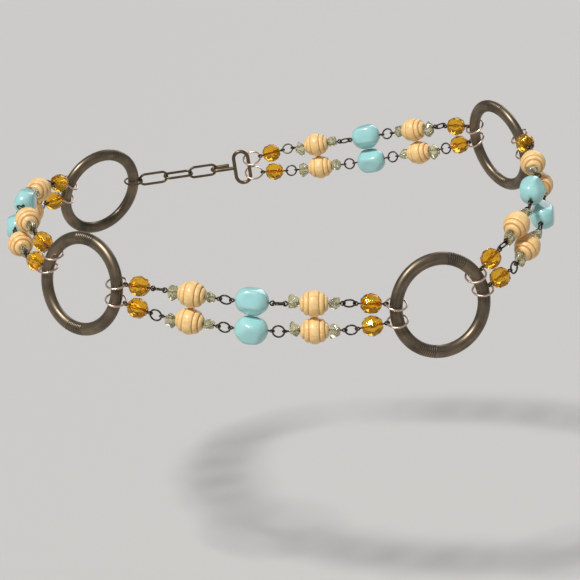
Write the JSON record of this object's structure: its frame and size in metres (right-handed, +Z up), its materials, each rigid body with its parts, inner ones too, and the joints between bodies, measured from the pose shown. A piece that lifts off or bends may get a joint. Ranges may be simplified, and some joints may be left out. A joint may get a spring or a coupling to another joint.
{
  "type": "beaded belt",
  "caption": "Double-strand beaded chain belt with four metal rings, shown closed in its worn form with a plain hook and short extension chain at the back.",
  "frame": {"origin": "middle of the waist that the belt goes round, level with the front beads' middle line", "axes": "+Z up the wearer's body, -Y out of the wearer's front, +X to the right of someone facing the wearer"},
  "size_m": [0.2777, 0.2195, 0.091],
  "materials": {
    "bronze_metal": "aged dark bronze plating, satin, rubbed brighter on the edges",
    "link_metal_and_chips": "tarnished link wire with pale olive stone chips",
    "amber_glass": "clear honey amber, faceted and polished",
    "turned_wood": "pale turned wood, waxed, with grooves",
    "turquoise_ceramic": "opaque pale turquoise, glossy, soft corners"
  },
  "bodies": {
    "root": {"ring_front_left": "bronze_metal", "ring_front_right": "bronze_metal", "ring_back_right": "bronze_metal", "ring_back_left": "bronze_metal", "wires_and_chips_front_upper": "link_metal_and_chips", "amber_front_upper_1": "amber_glass", "amber_front_upper_2": "amber_glass", "wood_front_upper_1": "turned_wood", "wood_front_upper_2": "turned_wood", "turquoise_front_upper": "turquoise_ceramic", "wires_and_chips_front_lower": "link_metal_and_chips", "amber_front_lower_1": "amber_glass", "amber_front_lower_2": "amber_glass", "wood_front_lower_1": "turned_wood", "wood_front_lower_2": "turned_wood", "turquoise_front_lower": "turquoise_ceramic", "wires_and_chips_right_upper": "link_metal_and_chips", "amber_right_upper_1": "amber_glass", "amber_right_upper_2": "amber_glass", "wood_right_upper_1": "turned_wood", "wood_right_upper_2": "turned_wood", "turquoise_right_upper": "turquoise_ceramic", "wires_and_chips_right_lower": "link_metal_and_chips", "amber_right_lower_1": "amber_glass", "amber_right_lower_2": "amber_glass", "wood_right_lower_1": "turned_wood", "wood_right_lower_2": "turned_wood", "turquoise_right_lower": "turquoise_ceramic", "wires_and_chips_back_upper": "link_metal_and_chips", "amber_back_upper_1": "amber_glass", "amber_back_upper_2": "amber_glass", "wood_back_upper_1": "turned_wood", "wood_back_upper_2": "turned_wood", "turquoise_back_upper": "turquoise_ceramic", "wires_and_chips_back_lower": "link_metal_and_chips", "amber_back_lower_1": "amber_glass", "amber_back_lower_2": "amber_glass", "wood_back_lower_1": "turned_wood", "wood_back_lower_2": "turned_wood", "turquoise_back_lower": "turquoise_ceramic", "wires_and_chips_left_upper": "link_metal_and_chips", "amber_left_upper_1": "amber_glass", "amber_left_upper_2": "amber_glass", "wood_left_upper_1": "turned_wood", "wood_left_upper_2": "turned_wood", "turquoise_left_upper": "turquoise_ceramic", "wires_and_chips_left_lower": "link_metal_and_chips", "amber_left_lower_1": "amber_glass", "amber_left_lower_2": "amber_glass", "wood_left_lower_1": "turned_wood", "wood_left_lower_2": "turned_wood", "turquoise_left_lower": "turquoise_ceramic", "hook": "bronze_metal", "extension_chain": "bronze_metal"}
  },
  "joints": []
}
